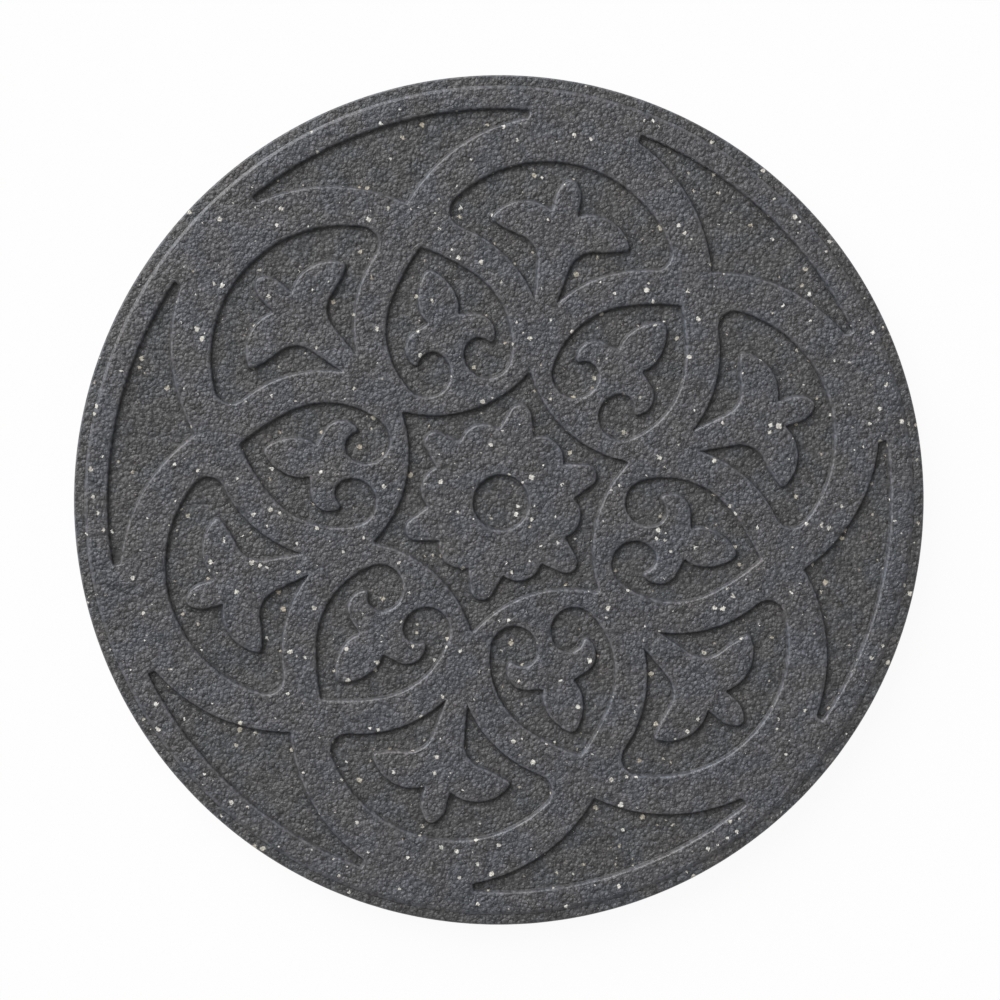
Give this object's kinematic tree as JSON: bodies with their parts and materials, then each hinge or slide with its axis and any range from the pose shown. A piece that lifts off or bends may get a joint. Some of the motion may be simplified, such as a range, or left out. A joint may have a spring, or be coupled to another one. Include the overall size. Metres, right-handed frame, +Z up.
{
  "type": "garden stepping stone",
  "caption": "Round moulded rubber garden stepping stone with a sunk lily, heart and rosette ornament on top and a stepped rim; lies on soil or lawn as a footpath slab.",
  "frame": {"origin": "middle of the flat underside", "axes": "+Z up through the ornamented top, +Y along the axis of one fan of the ornament"},
  "size_m": [0.4499, 0.45, 0.02],
  "materials": {
    "crumb_rubber": "moulded recycled crumb rubber, charcoal grey with scattered tan flecks"
  },
  "bodies": {
    "root": {"stepping_stone": "crumb_rubber"}
  },
  "joints": []
}
